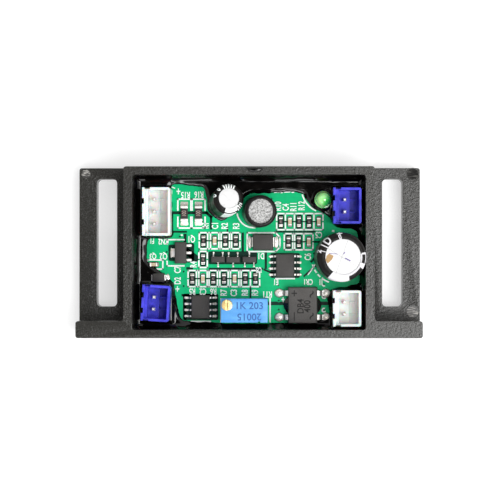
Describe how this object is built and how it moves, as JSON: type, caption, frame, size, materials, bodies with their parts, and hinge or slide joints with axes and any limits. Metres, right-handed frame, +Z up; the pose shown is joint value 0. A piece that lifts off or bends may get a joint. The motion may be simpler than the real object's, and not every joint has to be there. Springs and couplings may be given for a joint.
{
  "type": "potted driver board",
  "caption": "Potted green circuit board with sockets, capacitors, a trimmer and surface-mounted parts, in an open black case with two slotted mounting ears.",
  "frame": {"origin": "middle of the case's footprint, on the flat underside that the case rests on", "axes": "+X along the case, from ear to ear; +Y across it, away from the raised bar; +Z up, out of the open top"},
  "size_m": [0.071, 0.0352, 0.0179],
  "materials": {
    "case_plastic": "charcoal moulded plastic, fine satin grain",
    "solder_mask": "bright green solder mask with white legend",
    "potting_resin": "glossy black poured resin",
    "white_socket": "moulded off-white nylon",
    "blue_socket": "moulded blue nylon",
    "tinned_pin": "tinned square pin",
    "green_lens": "tinted epoxy lens",
    "aluminium_can": "bright drawn aluminium, scored vent",
    "black_sleeve": "black heat-shrunk sleeve",
    "ferrite": "speckled sintered ferrite",
    "enamelled_copper": "enamelled copper wire",
    "trimmer_blue": "blue moulded plastic",
    "trimmer_base": "blue moulded plastic",
    "brass_screw": "turned brass",
    "trimmer_wheel": "moulded nylon",
    "package_moulding": "black epoxy moulding with tinned leads",
    "chip_resistor": "black glazed ceramic with tinned ends",
    "chip_capacitor": "tan ceramic with tinned ends"
  },
  "bodies": {
    "module": {"big_capacitor_can": "aluminium_can", "big_capacitor_sleeve": "black_sleeve", "bridge_rectifier": "package_moulding", "case": "case_plastic", "circuit_board": "solder_mask", "control_chip": "package_moulding", "driver_chip": "package_moulding", "inductor_core": "ferrite", "inductor_sleeve": "black_sleeve", "inductor_winding": "enamelled_copper", "potting_resin": "potting_resin", "power_diode": "package_moulding", "reverse_diode": "package_moulding", "small_capacitor_can": "aluminium_can", "small_capacitor_sleeve": "black_sleeve", "status_led": "green_lens", "transistor_1": "package_moulding", "transistor_2": "package_moulding", "transistor_3": "package_moulding", "trimmer_base": "trimmer_base", "trimmer_housing": "trimmer_blue", "voltage_regulator": "package_moulding", "three_pin_socket": "tinned_pin", "left_blue_socket": "blue_socket", "right_blue_socket": "blue_socket", "right_white_socket": "white_socket", "sense_resistor_1": "chip_resistor", "sense_resistor_2": "chip_resistor", "three_pin_socket_pin_1": "tinned_pin", "three_pin_socket_pin_2": "tinned_pin", "three_pin_socket_pin_3": "tinned_pin", "left_blue_socket_pin_1": "tinned_pin", "left_blue_socket_pin_2": "tinned_pin", "right_blue_socket_pin_1": "tinned_pin", "right_blue_socket_pin_2": "tinned_pin", "right_white_socket_pin_1": "tinned_pin", "right_white_socket_pin_2": "tinned_pin", "chip_resistor_1": "chip_resistor", "chip_resistor_2": "chip_resistor", "chip_resistor_3": "chip_resistor", "chip_resistor_4": "chip_resistor", "chip_resistor_5": "chip_resistor", "chip_resistor_6": "chip_resistor", "chip_resistor_7": "chip_resistor", "chip_resistor_8": "chip_resistor", "chip_resistor_9": "chip_resistor", "chip_resistor_10": "chip_resistor", "chip_resistor_11": "chip_resistor", "chip_resistor_12": "chip_resistor", "chip_resistor_13": "chip_resistor", "chip_resistor_14": "chip_resistor", "chip_capacitor_1": "chip_capacitor", "chip_capacitor_2": "chip_capacitor", "chip_capacitor_3": "chip_capacitor", "chip_capacitor_4": "chip_capacitor", "chip_capacitor_5": "chip_capacitor", "chip_capacitor_6": "chip_capacitor", "chip_capacitor_7": "chip_capacitor"},
    "adjuster": {"trimmer_screw": "brass_screw"},
    "wiper": {"trimmer_wheel": "trimmer_wheel"}
  },
  "joints": [
    {"name": "trimmer_screw_turn", "type": "hinge", "parent": "module", "child": "adjuster", "pos_m": [-0.00443, -0.01076, 0.01513], "axis": [0, 0, 1], "range_deg": [-4500, 4500]},
    {"name": "trimmer_wiper_turn", "type": "hinge", "parent": "module", "child": "wiper", "pos_m": [-0.00108, -0.01076, 0.01012], "axis": [0, 1, 0], "range_deg": [-150, 150]}
  ],
  "couplings": [
    {"joint": "trimmer_wiper_turn", "follows": "trimmer_screw_turn", "ratio": -0.033333}
  ]
}
